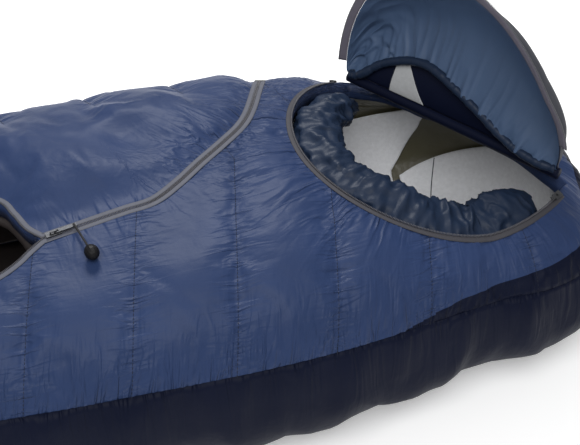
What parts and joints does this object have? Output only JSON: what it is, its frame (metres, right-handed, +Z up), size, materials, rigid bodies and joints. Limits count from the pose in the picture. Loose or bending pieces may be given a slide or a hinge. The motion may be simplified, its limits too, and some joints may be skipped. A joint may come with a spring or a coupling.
{
  "type": "mummy sleeping bag",
  "caption": "Padded mummy sleeping bag with a tapered body, curved front zip, gathered collar round the face opening and a hinged hood flap.",
  "frame": {"origin": "centre of the underside on the floor", "axes": "+X to the head end, -Y to the side with the open zip, +Z up"},
  "size_m": [1.9989, 0.6104, 0.4927],
  "materials": {
    "shell_base": "dark navy nylon",
    "fill_base": "lofted synthetic wadding",
    "lining_base": "brown-grey lining",
    "shell_side_near": "dark navy nylon",
    "shell_side_far": "dark navy nylon",
    "fill_side_near": "lofted synthetic wadding",
    "fill_side_far": "lofted synthetic wadding",
    "lining_side_near": "brown-grey lining",
    "lining_side_far": "brown-grey lining",
    "shell_top": "shiny blue nylon",
    "fill_top": "lofted synthetic wadding",
    "lining_top": "brown-grey lining",
    "shell_hood_band": "dark navy nylon",
    "collar": "gathered slate lining",
    "collar_elastic": "covered elastic",
    "zip_tape_near": "woven grey tape",
    "zip_tape_far": "woven grey tape",
    "zip_coil_near": "nylon coil",
    "zip_coil_far": "nylon coil",
    "zip_top_stop": "moulded",
    "zip_end_stop": "moulded",
    "draught_tube": "slate lining",
    "hood_zip_tape": "woven grey tape",
    "hood_zip_coil": "nylon coil",
    "hood_zip_stop": "moulded",
    "hinge_piping": "dark navy piping",
    "head_panel": "brushed light grey",
    "neck_band": "olive satin",
    "loop_hood": "black webbing",
    "loop_foot_near": "black webbing",
    "loop_foot_far": "black webbing",
    "flap_shell": "dark navy nylon",
    "flap_fill": "lofted synthetic wadding",
    "flap_lining": "smooth slate lining",
    "flap_zip_tape": "woven grey tape",
    "flap_zip_coil": "nylon coil",
    "main_slider": "polished",
    "main_pull_tab": "polished",
    "main_pull_cord": "braided",
    "main_pull_ball": "moulded, satin",
    "hood_slider": "polished",
    "hood_pull_tab": "polished"
  },
  "bodies": {
    "bag": {"shell_base": "shell_base", "fill_base": "fill_base", "lining_base": "lining_base", "shell_side_near": "shell_side_near", "shell_side_far": "shell_side_far", "fill_side_near": "fill_side_near", "fill_side_far": "fill_side_far", "lining_side_near": "lining_side_near", "lining_side_far": "lining_side_far", "shell_top": "shell_top", "fill_top": "fill_top", "lining_top": "lining_top", "shell_hood_band": "shell_hood_band", "collar": "collar", "collar_elastic": "collar_elastic", "zip_tape_near": "zip_tape_near", "zip_tape_far": "zip_tape_far", "zip_coil_near": "zip_coil_near", "zip_coil_far": "zip_coil_far", "zip_top_stop": "zip_top_stop", "zip_end_stop": "zip_end_stop", "draught_tube": "draught_tube", "hood_zip_tape": "hood_zip_tape", "hood_zip_coil": "hood_zip_coil", "hood_zip_stop": "hood_zip_stop", "hinge_piping": "hinge_piping", "head_panel": "head_panel", "neck_band": "neck_band", "loop_hood": "loop_hood", "loop_foot_near": "loop_foot_near", "loop_foot_far": "loop_foot_far"},
    "flap": {"flap_shell": "flap_shell", "flap_fill": "flap_fill", "flap_lining": "flap_lining", "flap_zip_tape": "flap_zip_tape", "flap_zip_coil": "flap_zip_coil"},
    "zip_slider": {"main_slider": "main_slider"},
    "zip_tab": {"main_pull_tab": "main_pull_tab"},
    "zip_cord": {"main_pull_cord": "main_pull_cord", "main_pull_ball": "main_pull_ball"},
    "hood_zip_slider": {"hood_slider": "hood_slider"},
    "hood_zip_tab": {"hood_pull_tab": "hood_pull_tab"}
  },
  "joints": [
    {"name": "flap_hinge", "type": "hinge", "parent": "bag", "child": "flap", "pos_m": [0.81697, 0.05236, 0.249], "axis": [-0.5948, 0.8039, 0], "range_deg": [-80, 30]},
    {"name": "zip_slide", "type": "slide", "parent": "bag", "child": "zip_slider", "axis": [0.9786, 0.2001, 0.0489], "range_m": [0, 0.1]},
    {"name": "zip_tab_swing", "type": "hinge", "parent": "zip_slider", "child": "zip_tab", "pos_m": [0.23946, -0.08452, 0.2846], "axis": [0.2013, -0.9793, -0.0215], "range_deg": [0, 105]},
    {"name": "zip_cord_swing", "type": "hinge", "parent": "zip_tab", "child": "zip_cord", "pos_m": [0.2649, -0.07937, 0.28817], "axis": [-0.9641, -0.2655, 0], "range_deg": [0, 80]},
    {"name": "hood_zip_slide", "type": "slide", "parent": "bag", "child": "hood_zip_slider", "axis": [-0.7475, -0.6184, 0.2426], "range_m": [0, 0.01]},
    {"name": "hood_zip_tab_swing", "type": "hinge", "parent": "hood_zip_slider", "child": "hood_zip_tab", "pos_m": [0.91195, -0.12431, 0.24029], "axis": [-0.5216, 0.7726, 0.362], "range_deg": [0, 105]}
  ]
}
